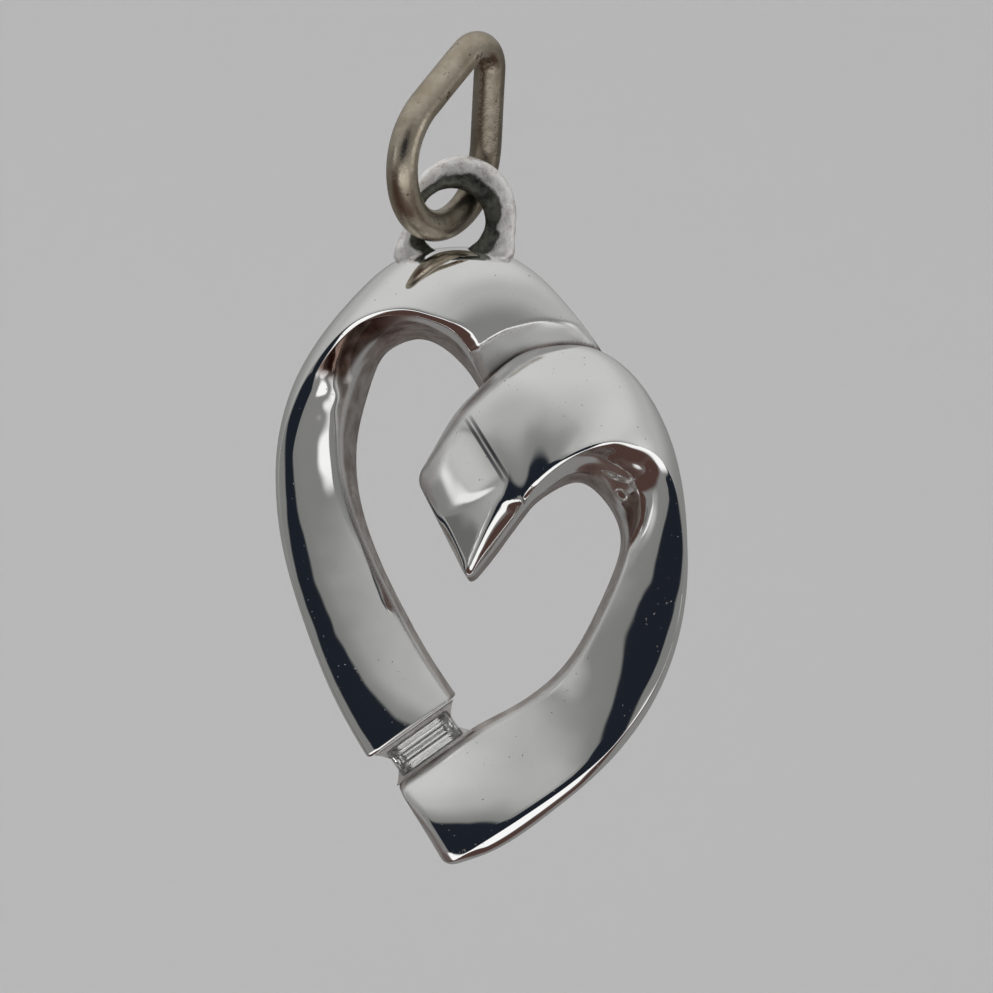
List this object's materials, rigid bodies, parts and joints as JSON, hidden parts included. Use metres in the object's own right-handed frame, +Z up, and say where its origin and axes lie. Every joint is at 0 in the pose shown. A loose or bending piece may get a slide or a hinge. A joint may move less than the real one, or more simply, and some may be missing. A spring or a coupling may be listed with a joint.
{
  "type": "heart pendant",
  "caption": "Open heart pendant of crossing polished ribbons with a baguette stone set between their ends, hung by a soldered eye on a teardrop jump ring.",
  "frame": {"origin": "inside of the jump ring's wire at its top, where a chain rests", "axes": "+Z up as the pendant hangs, +X to the right of someone facing it, -Y out of the front"},
  "size_m": [0.0124, 0.0045, 0.025],
  "materials": {
    "polished_silver": "mirror polished",
    "cast_silver": "as cast, lightly polished",
    "clear_stone": "polished facets",
    "nickel_silver": "tarnished satin"
  },
  "bodies": {
    "ring": {"jump_ring": "nickel_silver"},
    "heart": {"left_ribbon": "polished_silver", "right_ribbon": "polished_silver", "hanging_eye": "cast_silver", "stone_seat": "cast_silver", "baguette_stone": "clear_stone"}
  },
  "joints": [
    {"name": "heart_swing", "type": "hinge", "parent": "ring", "child": "heart", "pos_m": [-0.0009, 0.00033, -0.00477], "axis": [0, 1, 0], "range_deg": [-50, 60]}
  ]
}
